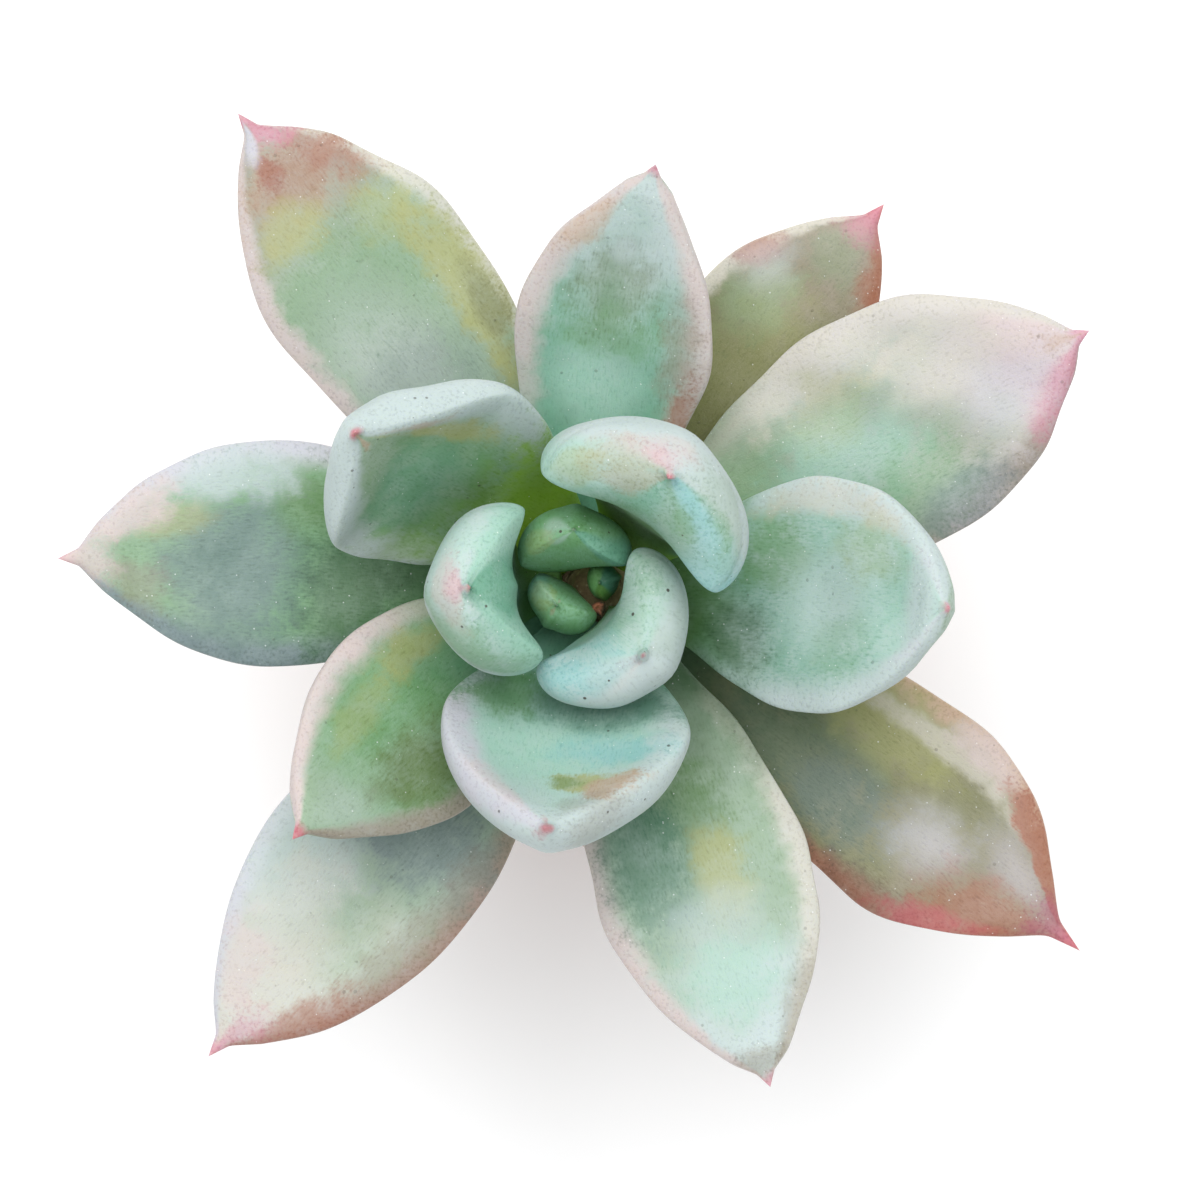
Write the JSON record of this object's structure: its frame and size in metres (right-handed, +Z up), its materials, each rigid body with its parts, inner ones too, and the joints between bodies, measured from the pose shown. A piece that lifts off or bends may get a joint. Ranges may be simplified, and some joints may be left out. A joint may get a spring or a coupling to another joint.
{
  "type": "potted succulent",
  "caption": "Loose rosette of fat, spoon-shaped, powdery blue-green leaves with pink tips, on a short stem, planted in soil in a plain round clay pot.",
  "frame": {"origin": "middle of the pot's flat foot, on the surface that the pot stands on; the stem stands on the Z axis", "axes": "+Z up; seen from straight above with +Y up the page, +X is to the right"},
  "size_m": [0.1022, 0.0967, 0.1013],
  "materials": {
    "clay": "unglazed, matte, slightly porous terracotta",
    "soil": "loose dark potting mix with grit",
    "stem": "grey-brown, slightly woody, with leaf scars",
    "leaf_olive_brown": "waxy skin with thin powdery bloom, olive flushed orange-brown, magenta tip",
    "leaf_grey_beige": "waxy skin with powdery bloom, grey-beige with rusty blush",
    "leaf_pale_pink": "waxy skin with thick powdery bloom, pale pinkish beige, pink edge",
    "leaf_teal_grey": "waxy skin with powdery bloom, teal-grey, pale edge, pink tip",
    "leaf_green": "waxy skin with powdery bloom, green with olive patches, pinkish white edge, pink tip",
    "leaf_mint": "waxy skin with thick powdery bloom, pale mint with turquoise and peach patches, pink tip",
    "leaf_heart_green": "waxy skin with thin bloom, deep green"
  },
  "bodies": {
    "root": {"pot": "clay", "soil": "soil", "stem": "stem", "leaf_01": "leaf_olive_brown", "leaf_02": "leaf_olive_brown", "leaf_03": "leaf_grey_beige", "leaf_04": "leaf_pale_pink", "leaf_05": "leaf_pale_pink", "leaf_06": "leaf_teal_grey", "leaf_07": "leaf_green", "leaf_08": "leaf_green", "leaf_09": "leaf_green", "leaf_10": "leaf_mint", "leaf_11": "leaf_green", "leaf_12": "leaf_mint", "leaf_13": "leaf_mint", "leaf_14": "leaf_mint", "leaf_15": "leaf_mint", "leaf_16": "leaf_heart_green", "leaf_17": "leaf_heart_green", "leaf_18": "leaf_heart_green", "leaf_19": "leaf_heart_green"}
  },
  "joints": []
}
